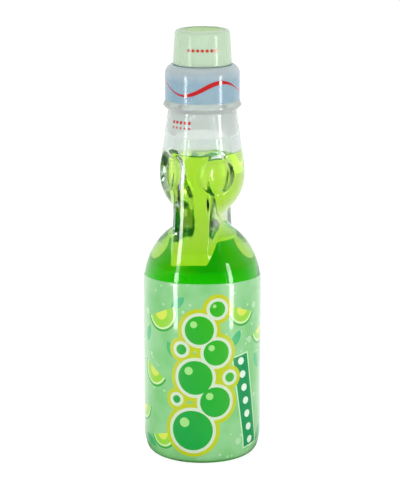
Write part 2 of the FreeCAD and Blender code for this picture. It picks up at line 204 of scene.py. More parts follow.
# Millimetres round a skin of the given radius, starting from the front, and up it
def wrapCoords(tree, radius):
    place = objectPlace(tree)
    angle = calc(tree, "ARCTAN2", place[0], calc(tree, "MULTIPLY", place[1], -1.0))
    return calc(tree, "MULTIPLY", angle, radius), calc(tree, "MULTIPLY", place[2], 1 / mm)


def discDistance(tree, spot, x, y, radius):
    away = addNode(tree, "VectorMath", {0: spot, 1: (x, y, 0)}, operation="DISTANCE").outputs["Value"]
    return calc(tree, "SUBTRACT", away, radius)


def flatLength(tree, across, rise):
    squares = calc(tree, "MULTIPLY", across, across), calc(tree, "MULTIPLY", rise, rise)
    return calc(tree, "SQRT", calc(tree, "ADD", *squares))


def localCoords(tree, spot, x, y, turn):
    settings = {"Vector": spot, "Location": (x, y, 0), "Rotation": (0, 0, radians(turn))}
    moved = addNode(tree, "Mapping", settings, vector_type="TEXTURE").outputs[0]
    parts = addNode(tree, "SeparateXYZ", {0: moved})
    return moved, parts.outputs[0], parts.outputs[1]


def within(tree, distance, edge):
    return calc(tree, "LESS_THAN", distance, edge)


def withinBand(tree, distance, reach):
    return within(tree, calc(tree, "ABSOLUTE", distance), reach)


def both(tree, *masks):
    result = masks[0]
    for mask in masks[1:]:
        result = calc(tree, "MULTIPLY", result, mask)
    return result


# Glass bottle
bottle = {
    "punt": 3.0, "footInner": 17.5, "foot": 22.0, "side": 28.95,
    "heelHeight": 13.4, "heelBreak": (27.609, 4.435),
    "shoulderFoot": 86.9, "shoulderTop": 98.0, "shoulderInset": 1.75,
    "chamber": 22.0, "chamberFoot": 132.0, "chamberBreak": (21.23, 142.571), "neck": 16.65,
    "ringFoot": 173.7, "ring": 19.05, "ringCrest": 176.0, "ringEdge": 176.6,
    "seat": 178.6, "seatRadius": 18.15, "finish": 14.2,
    "beadFoot": 183.0, "beadTop": 186.0, "bead": 0.8, "lip": 190.4,
    "floor": 9.5, "innerHeel": 8.5, "innerSide": 24.35, "innerShoulder": (22.4, 96.5),
    "throat": 14.2, "throatFoot": 113.5, "throatTop": 120.0,
    "innerChamber": 18.2, "innerChamberFoot": 136.0, "innerBreak": (17.077, 142.571),
    "neckBore": 10.4, "mouthBore": 9.6,
    "footRoundings": (1.0, 0.8), "neckRounding": 0.5, "ringRounding": 0.28, "seatRounding": 0.4,
    "beadRounding": 0.3, "lipRounding": 0.8,
}
# the waist is pinched from two sides, which leaves a column in front and behind; each arc that the pinch
# follows is (centre across, centre height, radius, wall behind it)
pinch = {
    "turn": -15.0, "half": 10.3, "wall": 4.0, "soften": 5.0, "innerSharpen": 3.0, "leastAcross": 0.02,
    "footTop": 112.0, "footReach": 14.0, "footSoften": 9.0, "blend": 3.5, "waist": 120.0, "top": 151.29,
    "shoulderArc": (-7.1, 86.9, 36.05, 4.6), "shoulderBreak": 103.57, "innerBreakDrop": 2.1,
    "domeArc": (-1.56, 89.79, 29.8, 4.6),
    "chamberArc": (-1.5, 141.6, 22.3, 3.8), "neckArc": (-34.6, 141.6, 55.4, 3.8),
}
dents = {"angles": (22.6, -60.6), "reach": 26.5, "height": 144.5, "ball": 11.5, "wall": 3.8, "soften": 1.8}


def drawBodySide(pen, skin):
    side = bottle["side"] + skin
    breakX, breakZ = bottle["heelBreak"]
    breakX += skin
    upper = Vector((side - breakX, bottle["heelHeight"] - breakZ))
    arcTo(pen, breakX, breakZ, arrive=mirrored(Vector((0, 1)), upper), steps=8)
    arcTo(pen, side, bottle["heelHeight"], arrive=(0, 1), steps=8)
    lineTo(pen, side, bottle["shoulderFoot"], cuts=24)
    arcTo(pen, side - bottle["shoulderInset"], bottle["shoulderTop"], leave=(0, 1), steps=14)


def drawHollow(pen, grow):
    side = bottle["innerSide"] + grow
    shoulderX, shoulderZ = bottle["innerShoulder"]
    breakX, breakZ = bottle["innerBreak"]
    lineTo(pen, bottle["innerSide"] - bottle["innerHeel"], bottle["floor"] - grow, cuts=4)
    arcTo(pen, side, bottle["floor"] + bottle["innerHeel"], arrive=(0, 1), steps=8)
    lineTo(pen, side, bottle["shoulderFoot"], cuts=20)
    arcTo(pen, shoulderX + grow, shoulderZ, leave=(0, 1), steps=12)
    arcTo(pen, bottle["throat"] + grow, bottle["throatFoot"], arrive=(0, 1), steps=26)
    lineTo(pen, bottle["throat"] + grow, bottle["throatTop"], cuts=10)
    arcTo(pen, bottle["innerChamber"] + grow, bottle["innerChamberFoot"], arrive=(0, 1), steps=20)
    arcTo(pen, breakX + grow, breakZ, leave=(0, 1), steps=14)


def softMin(a, b, soft):
    blend = max(soft - abs(a - b), 0) / soft
    return min(a, b) - blend * blend * soft / 4


# Radius of the round part of the shoulder and the chamber, beside the columns
def roundRadius(height, inner):
    if height < pinch["waist"]:
        shoulderBreak = pinch["shoulderBreak"] - pinch["innerBreakDrop"] * inner
        arc = "shoulderArc" if height < shoulderBreak else "domeArc"
    else:
        arc = "chamberArc" if height < pinch["chamberArc"][1] else "neckArc"
    x, z, radius, wall = pinch[arc]
    return x + sqrt(max((radius - wall * inner) ** 2 - (height - z) ** 2, 0))


# Radius of a wall, in millimetres, once the waist is pinched and the two dents are pressed in;
# inner is 1 for the hollow's wall and 0 for the outside
def pressedRadius(radius, spot, inner, grow=0.0):
    x, y = spot.xy.normalized()
    height = spot.z / mm
    turn = radians(pinch["turn"])
    if height < pinch["top"]:
        across = max(abs(x * cos(turn) + y * sin(turn)), pinch["leastAcross"])
        half = pinch["half"] - pinch["wall"] * inner + grow
        foot = min(max((pinch["footTop"] - height) / pinch["footReach"], 0), 1)
        soft = pinch["soften"] + pinch["footSoften"] * foot - pinch["innerSharpen"] * inner
        column = softMin(radius, half / across, soft)
        radius = min(radius, -softMin(-column, -roundRadius(height, inner) - grow, pinch["blend"]))
    for angle in dents["angles"]:
        turn = radians(angle)
        along = dents["reach"] * (x * sin(turn) - y * cos(turn))
        ball = dents["ball"] + dents["wall"] * inner - grow
        under = along ** 2 - dents["reach"] ** 2 - (height - dents["height"]) ** 2 + ball ** 2
        if along > 0 and under > 0:
            radius = softMin(radius, along - sqrt(under), dents["soften"])
    return radius


def makeBottle(material):
    finish, bead, lip = bottle["finish"], bottle["bead"], bottle["lip"]
    innerFoot, outerFoot = bottle["footRoundings"]
    breakX, breakZ = bottle["chamberBreak"]
    pen = startPen(0, bottle["punt"])
    arcTo(pen, bottle["footInner"], 0, leave=(1, 0), steps=12)
    roundTip(pen, innerFoot)
    lineTo(pen, bottle["foot"], 0, rounding=outerFoot)
    drawBodySide(pen, 0)
    arcTo(pen, bottle["chamber"], bottle["chamberFoot"], steps=48)
    arcTo(pen, breakX, breakZ, leave=(0, 1), steps=16)
    lineTo(pen, bottle["neck"], bottle["ringFoot"], cuts=46, rounding=bottle["neckRounding"])
    lineTo(pen, bottle["ring"], bottle["ringCrest"], rounding=bottle["ringRounding"])
    lineTo(pen, bottle["ring"], bottle["ringEdge"], rounding=bottle["ringRounding"])
    lineTo(pen, bottle["seatRadius"], bottle["seat"], rounding=bottle["seatRounding"])
    lineTo(pen, finish, bottle["seat"])
    lineTo(pen, finish, bottle["beadFoot"])
    lineTo(pen, finish + bead, bottle["beadFoot"] + bead, rounding=bottle["beadRounding"])
    lineTo(pen, finish + bead, bottle["beadTop"] - bead, rounding=bottle["beadRounding"])
    lineTo(pen, finish, bottle["beadTop"])
    lineTo(pen, finish, lip, rounding=bottle["lipRounding"])
    lineTo(pen, bottle["mouthBore"], lip)
    markWall(pen)
    movePen(pen, 0, bottle["floor"])
    drawHollow(pen, 0)
    lineTo(pen, bottle["neckBore"], bottle["ringFoot"], cuts=40)
    lineTo(pen, bottle["mouthBore"], bottle["seat"], cuts=3)
    lineTo(pen, bottle["mouthBore"], lip, cuts=5)
    bm = turnPen(pen)
    wall = bm.verts.layers.int["wall"]
    for vert in bm.verts:
        radius = vert.co.xy.length / mm
        if radius > poleRadius:
            vert.co.xy *= pressedRadius(radius, vert.co, 0 if vert[wall] else 1) / radius
    makePiece("bottleGlass", bm, material, "bottle", "glass_bottle")


# Drink, which wets the glass a hair deep so that no air shows between them
drink = {"level": 151.8, "grow": 0.06, "climb": 1.3, "reach": 1.2, "rings": 16}


def makeDrink(material):
    level, climb, surfaceMark = drink["level"], drink["climb"], 2
    breakX, breakZ = bottle["innerBreak"]
    top = level + climb
    slope = (bottle["neckBore"] - breakX) / (bottle["ringFoot"] - breakZ)
    rim = breakX + drink["grow"] + slope * (top - breakZ)
    pen = startPen(0, bottle["floor"] - drink["grow"])
    drawHollow(pen, drink["grow"])
    lineTo(pen, rim, top, cuts=6)
    markWall(pen)
    # the surface climbs the glass, with rings close together where it is steep
    for ring in range(1, drink["rings"]):
        inward = (ring / drink["rings"]) ** 2 * rim
        lineTo(pen, rim - inward, level + climb * exp(-inward / drink["reach"]))
        pen["tip"][pen["wall"]] = surfaceMark
    lineTo(pen, 0, level)
    pen["tip"][pen["wall"]] = surfaceMark
    bm = turnPen(pen)
    wall = bm.verts.layers.int["wall"]
    for vert in bm.verts:
        radius = vert.co.xy.length / mm
        if radius > poleRadius:
            full = rim if vert[wall] == surfaceMark else radius
            vert.co.xy *= pressedRadius(full, vert.co, 1, drink["grow"]) / full
    makePiece("drinkFill", bm, material, "bottle", "drink")


# Mouthpiece
spout = {
    "bore": 7.4, "boreRoundings": (0.3, 0.5), "spout": 11.85, "spoutRounding": 1.2, "spoutTop": 203.0,
    "spoutRoot": 0.3, "roof": 196.05, "ceiling": 192.4, "side": 18.15, "rounding": 4.35, "foot": 178.6,
    "footRoundings": (0.25, 0.2), "socket": 14.25,
}


def makeMouthpiece(material):
    lowerBore, upperBore = spout["boreRoundings"]
    outerFoot, innerFoot = spout["footRoundings"]
    socket, bead = spout["socket"], bottle["bead"]
    pen = startPen(spout["bore"], spout["ceiling"])
    roundTip(pen, lowerBore)
    lineTo(pen, spout["bore"], spout["spoutTop"], rounding=upperBore)
    lineTo(pen, spout["spout"] - spout["spoutRounding"], spout["spoutTop"])
    arcTo(pen, spout["spout"], spout["spoutTop"] - spout["spoutRounding"], arrive=(0, -1), steps=8)
    lineTo(pen, spout["spout"], spout["roof"], rounding=spout["spoutRoot"])
    lineTo(pen, spout["side"] - spout["rounding"], spout["roof"])
    arcTo(pen, spout["side"], spout["roof"] - spout["rounding"], arrive=(0, -1), steps=14)
    lineTo(pen, spout["side"], spout["foot"], cuts=6, rounding=outerFoot)
    lineTo(pen, socket, spout["foot"], rounding=innerFoot)
    lineTo(pen, socket, bottle["beadFoot"])
    lineTo(pen, socket + bead, bottle["beadFoot"] + bead)
    lineTo(pen, socket + bead, bottle["beadTop"] - bead)
    lineTo(pen, socket, bottle["beadTop"])
    lineTo(pen, socket, spout["ceiling"])
    lineTo(pen, spout["bore"], spout["ceiling"])
    makePiece("spoutMouthpiece", turnPen(pen), material, "bottle", "mouthpiece")


# Cap ring and its bridges
cap = {
    "bore": 12.0, "footRadius": 14.33, "topRadius": 13.43, "rounding": 1.6, "window": 11.0, "foot": 196.15,
    "top": 212.8, "flange": 1.8, "footRoundings": (0.3, 0.35), "windowRoundings": (0.25, 0.2),
    "bridges": 6, "bridgeWidth": 0.8, "bridgeHeight": 0.72, "bridgeTip": 10.6, "bridgeRoot": 0.4,
    "bridgeBevel": 0.1,
}


def addBar(bm, low, high, turn, bevel):
    made = bmesh.ops.create_cube(bm, size=1.0)
    size = [h - l for l, h in zip(low, high)]
    bmesh.ops.scale(bm, verts=made["verts"], vec=[s * mm for s in size])
    bmesh.ops.translate(bm, verts=made["verts"], vec=[(l + h) / 2 * mm for l, h in zip(low, high)])
    edges = list({edge for vert in made["verts"] for edge in vert.link_edges})
    done = bmesh.ops.bevel(bm, geom=edges, offset=bevel * mm, offset_type="OFFSET", segments=2, profile=0.5,
                           affect="EDGES", material=-1)
    verts = list({vert for face in done["faces"] for vert in face.verts})
    bmesh.ops.rotate(bm, verts=verts, cent=(0, 0, 0), matrix=Matrix.Rotation(radians(turn), 3, "Z"))


def makeCapRing(material):
    flangeFoot = cap["top"] - cap["flange"]
    innerFoot, outerFoot = cap["footRoundings"]
    windowTop, windowFoot = cap["windowRoundings"]
    pen = startPen(cap["bore"], cap["foot"])
    roundTip(pen, innerFoot)
    lineTo(pen, cap["footRadius"], cap["foot"], rounding=outerFoot)
    lineTo(pen, cap["topRadius"], cap["top"] - cap["rounding"], cuts=6)
    arcTo(pen, cap["topRadius"] - cap["rounding"], cap["top"], leave=(0, 1), steps=10)
    lineTo(pen, cap["window"], cap["top"], rounding=windowTop)
    lineTo(pen, cap["window"], flangeFoot, rounding=windowFoot)
    lineTo(pen, cap["bore"], flangeFoot)
    lineTo(pen, cap["bore"], cap["foot"])
    bm = turnPen(pen)
    halfWidth = cap["bridgeWidth"] / 2
    low = (cap["bridgeTip"], -halfWidth, flangeFoot)
    high = (cap["window"] + cap["bridgeRoot"], halfWidth, flangeFoot + cap["bridgeHeight"])
    for bridge in range(cap["bridges"]):
        addBar(bm, low, high, bridge * 360 / cap["bridges"], cap["bridgeBevel"])
    makePiece("capRing", bm, material, "cap", "cap_ring")


# Plunger
plunger = {
    "disc": 10.5, "top": 212.6, "thickness": 2.0, "gate": 0.9, "gateDepth": 0.4, "gateRounding": 0.15,
    "discRoundings": (0.35, 0.2), "stem": 6.2, "stemBore": 4.9, "foot": 194.2,
    "stemRoundings": (0.4, 0.3, 0.2), "ribs": 4, "ribThickness": 1.2, "ribRoot": 0.3, "ribBevel": 0.1,
}


def makePlunger(material):
    discFoot = plunger["top"] - plunger["thickness"]
    gateFloor = plunger["top"] - plunger["gateDepth"]
    discTopEdge, discFootEdge = plunger["discRoundings"]
    stemRoot, stemFoot, stemInside = plunger["stemRoundings"]
    pen = startPen(0, gateFloor)
    lineTo(pen, plunger["gate"], gateFloor)
    lineTo(pen, plunger["gate"], plunger["top"], rounding=plunger["gateRounding"])
    lineTo(pen, plunger["disc"], plunger["top"], cuts=3, rounding=discTopEdge)
    lineTo(pen, plunger["disc"], discFoot, rounding=discFootEdge)
    lineTo(pen, plunger["stem"], discFoot, rounding=stemRoot)
    lineTo(pen, plunger["stem"], plunger["foot"], cuts=4, rounding=stemFoot)
    lineTo(pen, plunger["stemBore"], plunger["foot"], rounding=stemInside)
    lineTo(pen, plunger["stemBore"], discFoot)
    lineTo(pen, 0, discFoot)
    bm = turnPen(pen)
    wallMiddle = (plunger["stem"] + plunger["stemBore"]) / 2
    halfRib = plunger["ribThickness"] / 2
    low = (-wallMiddle, -halfRib, plunger["foot"])
    high = (wallMiddle, halfRib, discFoot + plunger["ribRoot"])
    for rib in range(plunger["ribs"] // 2):  # each bar crosses the stem and makes two ribs
        addBar(bm, low, high, rib * 360 / plunger["ribs"], plunger["ribBevel"])
    makePiece("plungerDisc", bm, material, "plunger", "plunger")


# Shrink films and label
film = {"gap": 0.02, "thickness": 0.15, "window": 9.4, "hem": 162.0, "bend": 76.0, "neckRounding": 0.6,
        "sharpAngle": 60}
label = {"skin": 0.15, "gap": 0.03, "foot": 0.4, "top": 92.5, "dip": 2.0}


def makeCapFilm(material, back):
    skin = film["gap"] + film["thickness"]
    pen = startPen(cap["footRadius"] + skin, cap["foot"])
    lineTo(pen, cap["topRadius"] + skin, cap["top"] - cap["rounding"], cuts=12)
    arcTo(pen, cap["topRadius"] - cap["rounding"], cap["top"] + skin, leave=(0, 1), steps=10)
    lineTo(pen, film["window"], cap["top"] + skin, cuts=3)
    bm = turnPen(pen)
    piece = makePiece("capFilm", bm, material, "cap", "cap_film", film["sharpAngle"])
    thicken(piece, film["thickness"], back)


def makeNeckFilm(material, back):
    skin = film["gap"] + film["thickness"]
    breakX, breakZ = bottle["chamberBreak"]
    neck, ringFoot = bottle["neck"], bottle["ringFoot"]
    hemRadius = neck + (breakX - neck) * (ringFoot - film["hem"]) / (ringFoot - breakZ)
    pen = startPen(hemRadius + skin, film["hem"])
    lineTo(pen, neck + skin, ringFoot, cuts=10, rounding=film["neckRounding"])
    lineTo(pen, bottle["ring"] + skin, bottle["ringCrest"], rounding=bottle["ringRounding"])
    lineTo(pen, bottle["ring"] + skin, bottle["ringEdge"], rounding=bottle["ringRounding"])
    lineTo(pen, spout["side"] + skin, bottle["seat"], rounding=bottle["seatRounding"])
    lineTo(pen, spout["side"] + skin, spout["roof"] - spout["rounding"], cuts=10)
    reach, turn = spout["rounding"] + skin, radians(film["bend"])
    endX = spout["side"] - spout["rounding"] + reach * cos(turn)
    endZ = spout["roof"] - spout["rounding"] + reach * sin(turn)
    arcTo(pen, endX, endZ, leave=(0, 1), steps=12)
    bm = turnPen(pen)
    piece = makePiece("neckFilm", bm, material, "bottle", "neck_film", film["sharpAngle"])
    thicken(piece, film["thickness"], back)


def makeLabel(material, back):
    pen = startPen(bottle["foot"] + label["skin"], 0)
    drawBodySide(pen, label["skin"])
    bm = turnPen(pen)
    lean = label["dip"] / (2 * bottle["side"])  # the upper edge dips towards the back
    for height, normal in ((label["foot"], (0, 0, -1)), (label["top"] - label["dip"] / 2, (0, lean, 1))):
        bmesh.ops.bisect_plane(bm, geom=bm.verts[:] + bm.edges[:] + bm.faces[:],
                               plane_co=(0, 0, height * mm), plane_no=normal, clear_outer=True)
    piece = makePiece("bodyLabel", bm, material, "bottle", "body_label", film["sharpAngle"])
    thicken(piece, label["skin"] - label["gap"], back)


# Finishes of glass and drink: slow waves, colour from depth, and little gloss where the two meet
wetGloss = (0.09, 0.09, 0.09, 1)
glassLook = {
    "tint": (0.92, 0.95, 0.935, 1), "ior": 1.5, "waves": 45.0, "waveDepth": 0.06, "waveStrength": 0.3,
    "soak": (0.5, 0.62, 0.57, 1), "density": 40.0, "wetBelow": drink["level"],
}
drinkLook = {
    "tint": plainWhite, "ior": 1.333, "waves": 120.0, "waveDepth": 0.05, "waveStrength": 0.3,
    "soak": (0.91, 0.988, 0.55, 1), "density": 200.0, "wetBelow": drink["level"] - 0.05,
}
marbleLook = {"ior": 1.5, "roughness": 0.02, "streaks": 90.0, "streakBand": (0.35, 0.65),
              "deep": (0.80, 0.93, 0.92, 1), "pale": (0.93, 0.98, 0.97, 1)}


def clearThrough(name, look, faces=None):
    material, tree, shader = startMaterial(name, {
        "Base Color": look["tint"], "Roughness": 0.0, "IOR": look["ior"], "Transmission Weight": 1.0})
    addWaves(tree, shader, look, 1.0)
    wet = within(tree, objectPlace(tree)[2], look["wetBelow"] * mm)
    if faces:
        wet = both(tree, faces(tree), wet)
    tree.links.new(lay(tree, plainWhite, wetGloss, wet), shader.inputs["Specular Tint"])
    soak = addNode(tree, "VolumeAbsorption", {"Color": look["soak"], "Density": look["density"]})
    tree.links.new(soak.outputs[0], tree.nodes["Material Output"].inputs["Volume"])
    return material


# The hollow's wall, which alone is unmarked
def innerFaces(tree):
    return within(tree, addNode(tree, "Attribute", attribute_name="wall").outputs["Fac"], 0.5)


def marbleGlass():
    material, tree, shader = startMaterial("marbleGlass", {
        "Roughness": marbleLook["roughness"], "IOR": marbleLook["ior"], "Transmission Weight": 1.0})
    streak = spread(tree, noise(tree, marbleLook["streaks"], 3.0), *marbleLook["streakBand"])
    tree.links.new(lay(tree, marbleLook["deep"], marbleLook["pale"], streak), shader.inputs["Base Color"])
    return material


# Plastics and rubber
plastic = {"ior": 1.5, "depth": 0.15, "depthScale": 0.002, "mottle": 160.0, "uneven": 0.06,
           "grain": 2600.0, "grainDepth": 0.012, "grainStrength": 0.5}
plasticTones = {  # pale, deep, roughness
    "spoutPlastic": (colour(74, 158, 194), colour(66, 152, 189), 0.35),
    "capPlastic": (colour(204, 234, 194), colour(198, 230, 188), 0.38),
    # the plunger's green is set darker than its own colour: painted shade for the cap ring's hollow it sits
    # in
    "plungerPlastic": (colour(174, 214, 140), colour(168, 209, 134), 0.38),
}
rubber = {"ior": 1.5, "deep": colour(186, 92, 84), "pale": colour(204, 110, 100), "roughness": (0.5, 0.7),
          "grain": 900.0, "grainDepth": 0.02, "grainStrength": 0.5}


def mouldedPlastic(name):
    pale, deep, roughness = plasticTones[name]
    material, tree, shader = startMaterial(name, {
        "IOR": plastic["ior"], "Subsurface Weight": plastic["depth"],
        "Subsurface Scale": plastic["depthScale"], "Subsurface Radius": (1.0, 1.0, 1.0)})
    mottle = noise(tree, plastic["mottle"], 3.0)
    tree.links.new(lay(tree, deep, pale, spread(tree, mottle, *midNoise)), shader.inputs["Base Color"])
    dullness = spread(tree, mottle, *midNoise, roughness - plastic["uneven"], roughness + plastic["uneven"])
    tree.links.new(dullness, shader.inputs["Roughness"])
    grain = noise(tree, plastic["grain"], 1.0)
    addBump(tree, shader, grain, plastic["grainDepth"], plastic["grainStrength"])
    return material


def gasketRubber():
    material, tree, shader = startMaterial("gasketRubber", {"IOR": rubber["ior"]})
    grain = noise(tree, rubber["grain"], 3.0)
    tree.links.new(lay(tree, rubber["deep"], rubber["pale"], grain), shader.inputs["Base Color"])
    tree.links.new(spread(tree, grain, *midNoise, *rubber["roughness"]), shader.inputs["Roughness"])
    addBump(tree, shader, grain, rubber["grainDepth"], rubber["grainStrength"])
    return material


# Shrink films: clear with a haze, and print that hides what is behind it
wrap = {
    "ior": 1.5, "roughness": 0.12, "coatRoughness": 0.04, "clouds": 70.0, "uneven": 0.03,
    "step": (spout["foot"] - 0.6, spout["foot"] + 0.6), "paintedTopHighlight": (188.5, 194.5), "inkDensity": 0.96,
    "waves": 110.0, "waveDepth": 0.05, "waveStrength": 0.3,
}
wrapBack = {"tint": (0.9, 0.95, 0.92, 1), "ior": 1.1, "roughness": 0.2, "haze": (0.01, 0.05)}
capWrap = {"haze": colour(222, 230, 222), "lowDensity": 0.36, "density": 0.36, "paintedTopHighlightDensity": 0.0}
# the neck film's haze thickens towards the mouthpiece's top, a painted highlight
neckWrap = {"haze": colour(222, 229, 225), "lowDensity": 0.54, "density": 0.34, "paintedTopHighlightDensity": 0.3}
capArt = {"ink": colour(205, 62, 40), "height": 204.2, "bead": 0.75, "pitch": 2.2, "run": 15.4,
          "period": 30.0}
neckArt = {
    "ink": colour(196, 36, 40), "wave": 38.33, "swing": 3.2, "height": 186.0,
    "width": 0.75, "widthSwing": 0.45, "widthLag": 1.2,
    "rows": ((169.4, 0.8), (166.8, 0.55)), "rowShift": 11.5, "pitch": 2.4, "run": 12.0,
}


# The inner face of a film, almost clear
def clearBack():
    material, tree, shader = startMaterial("filmBack", {
        "Base Color": wrapBack["tint"], "Roughness": wrapBack["roughness"], "IOR": wrapBack["ior"]})
    haze = spread(tree, noise(tree, wrap["clouds"], 3.0), *midNoise, *wrapBack["haze"])
    tree.links.new(haze, shader.inputs["Alpha"])
    return material


def shrinkFilm(name, look, radius, drawPrint):
    material, tree, shader = startMaterial(name, {
        "Roughness": wrap["roughness"], "IOR": wrap["ior"], "Coat Weight": 1.0,
        "Coat Roughness": wrap["coatRoughness"]})
    around, up = wrapCoords(tree, radius)
    inked, ink = drawPrint(tree, around, up)
    tree.links.new(lay(tree, look["haze"], ink, inked), shader.inputs["Base Color"])
    cloud = spread(tree, noise(tree, wrap["clouds"], 3.0), *midNoise, -wrap["uneven"], wrap["uneven"])
    # the haze rises over the plastic; on the neck film a whiter band is painted at the mouthpiece's top as
    # a highlight
    for reach, low, high in ((wrap["step"], look["lowDensity"], look["density"]),
                             (wrap["paintedTopHighlight"], 0.0, look["paintedTopHighlightDensity"])):
        cloud = calc(tree, "ADD", cloud, spread(tree, up, *reach, low, high))
    opaque = calc(tree, "MULTIPLY", inked, wrap["inkDensity"])
    tree.links.new(calc(tree, "MAXIMUM", cloud, opaque), shader.inputs["Alpha"])
    addWaves(tree, shader, wrap, 2.0)
    return material


# Places along a pattern that repeats, counted from the middle of each repeat
def repeat(tree, along, period):
    return calc(tree, "WRAP", along, period / 2, -period / 2)


# A short run of beads at one height
def beadRun(tree, along, up, height, size, art):
    bead = repeat(tree, along, art["pitch"])
    away = flatLength(tree, bead, calc(tree, "SUBTRACT", up, height))
    return both(tree, within(tree, away, size), withinBand(tree, along, art["run"] / 2))


# Red beads strung round the cap
def capPrint(tree, around, up):
    along = repeat(tree, around, capArt["period"])
    return beadRun(tree, along, up, capArt["height"], capArt["bead"], capArt), capArt["ink"]


# A red wave round the mouthpiece, and small beads on the neck
def neckPrint(tree, around, up):
    phase = calc(tree, "MULTIPLY", around, 2 * pi / neckArt["wave"])
    lagged = calc(tree, "SINE", calc(tree, "ADD", phase, neckArt["widthLag"]))
    width = calc(tree, "ADD", calc(tree, "MULTIPLY", lagged, neckArt["widthSwing"]), neckArt["width"])
    rise = calc(tree, "MULTIPLY", calc(tree, "SINE", phase), neckArt["swing"])
    crest = calc(tree, "ADD", rise, neckArt["height"])
    mask = withinBand(tree, calc(tree, "SUBTRACT", up, crest), width)
    along = calc(tree, "ADD", around, neckArt["rowShift"])
    for height, size in neckArt["rows"]:
        mask = calc(tree, "MAXIMUM", mask, beadRun(tree, along, up, height, size, neckArt))
    return mask, neckArt["ink"]


# Label: bubbles rise in the middle, with melon slices, leaves and a dotted ribbon beside them;
# each bubble is (around, up, radius), a slice has its turn as well, and a leaf has only its turn
labelArt = {
    "bubbles": [
        (-5.0, 18.5, 10.2), (6.5, 33.0, 7.6), (-3.5, 45.5, 8.6), (7.0, 58.0, 6.4), (-1.5, 69.5, 7.2),
        (7.5, 80.0, 3.9), (-10.5, 59.5, 2.6), (14.0, 45.0, 2.4), (-13.0, 34.0, 2.0)],
    "slices": [
        (-22.5, 77.0, 10.0, 24.0), (-27.0, 47.0, 9.0, -28.0), (-21.5, 15.0, 8.0, 14.0),
        (21.5, 78.5, 8.5, -20.0), (36.5, 66.0, 8.0, 18.0), (-38.5, 26.0, 8.0, 8.0)],
    "leaves": [
        (-16.0, 58.5, 30.0), (-12.5, 82.5, -48.0), (-33.0, 64.0, -20.0), (17.5, 64.0, -35.0),
        (33.5, 50.0, 25.0), (-31.0, 9.5, 60.0), (36.0, 12.0, -30.0)],
    "ground": (colour(126, 198, 124), colour(146, 206, 144)),
    "groundClouds": 60.0, "groundBand": (0.4, 0.6),
    "specks": ((0.1, 0.17), (0.21, 0.16)), "speck": colour(174, 218, 170),
    # the darker green along the foot is painted shade where the label turns under the heel
    "hem": 2.2, "footShadeTone": colour(92, 178, 84),
    "outlines": ((3.6, colour(188, 200, 14)), (1.6, colour(206, 222, 196))),
    "bubbleTones": (colour(0, 164, 62), colour(48, 178, 14)), "bubbleLean": 1.6, "bubbleRange": (5.0, 85.0),
    "glints": 6, "glintShift": (-0.38, 0.4), "glintSize": 0.24, "glint": colour(160, 222, 130),
}
melonSlice = {
    "rinds": ((0.0, colour(60, 168, 62)), (1.1, colour(205, 236, 170)), (2.1, colour(150, 212, 60))),
    "heart": 0.6, "heartTone": colour(214, 226, 84),
}
leaf = {"shift": 4.2, "radius": 6.4, "tone": colour(64, 182, 118)}
ribbon = {
    "x": 24.0, "y": 31.5, "turn": 9.0, "half": 5.2, "reach": 24.5, "pitch": 7.0, "dot": 1.9,
    "bands": ((0.0, colour(196, 236, 190)), (0.7, colour(12, 146, 84))), "dotTone": colour(222, 240, 222),
}
labelSheet = {
    "ior": 1.5, "coatRoughness": 0.05, "roughness": (0.28, 0.4), "mottle": 220.0,
    "waves": 90.0, "waveDepth": 0.08, "waveStrength": 0.3,
    "letThrough": (0.06, 0.8), "patches": 48.0, "patchBand": (0.47, 0.6),
    "back": (0.005, 0.58, 0.008, 1), "paleBack": (0.16, 0.74, 0.02, 1),
    "lowBack": (0.06, 1.0, 0.08, 1), "lowBackTop": (78.0, 88.0),
}


def layMelonSlice(tree, surface, spot, x, y, radius, turn):
    moved, _, rise = localCoords(tree, spot, x, y, turn)
    away = addNode(tree, "VectorMath", {0: moved}, operation="LENGTH").outputs["Value"]
    lower = within(tree, rise, 0.0)
    for inset, tone in (*melonSlice["rinds"], (radius * melonSlice["heart"], melonSlice["heartTone"])):
        surface = lay(tree, surface, tone, both(tree, lower, within(tree, away, radius - inset)))
    return surface


def layLeaf(tree, surface, spot, x, y, turn):
    moved, _, _ = localCoords(tree, spot, x, y, turn)
    shifts = (-leaf["shift"], leaf["shift"])
    sides = [discDistance(tree, moved, shift, 0, leaf["radius"]) for shift in shifts]
    return lay(tree, surface, leaf["tone"], within(tree, calc(tree, "MAXIMUM", *sides), 0.0))


def layRibbon(tree, surface, spot):
    _, across, along = localCoords(tree, spot, ribbon["x"], ribbon["y"], ribbon["turn"])
    for inset, tone in ribbon["bands"]:
        mask = both(tree, withinBand(tree, across, ribbon["half"] - inset),
                    withinBand(tree, along, ribbon["reach"] - inset))
        surface = lay(tree, surface, tone, mask)
    away = flatLength(tree, across, repeat(tree, along, ribbon["pitch"]))
    return lay(tree, surface, ribbon["dotTone"], both(tree, mask, within(tree, away, ribbon["dot"])))


def layBubbles(tree, surface, spot, around, up):
    edge = None  # one outline runs round all the bubbles
    for bubble in labelArt["bubbles"]:
        away = discDistance(tree, spot, *bubble)
        edge = away if edge is None else calc(tree, "MINIMUM", edge, away)
    for width, tone in labelArt["outlines"]:
        surface = lay(tree, surface, tone, within(tree, edge, width))
    lean = calc(tree, "ADD", calc(tree, "MULTIPLY", around, labelArt["bubbleLean"]), up)
    inside = lay(tree, *labelArt["bubbleTones"], spread(tree, lean, *labelArt["bubbleRange"]))
    surface = lay(tree, surface, inside, within(tree, edge, 0.0))
    shiftX, shiftY = labelArt["glintShift"]
    for x, y, size in labelArt["bubbles"][:labelArt["glints"]]:
        glint = discDistance(tree, spot, x + size * shiftX, y + size * shiftY, size * labelArt["glintSize"])
        surface = lay(tree, surface, labelArt["glint"], within(tree, glint, 0.0))
    return surface


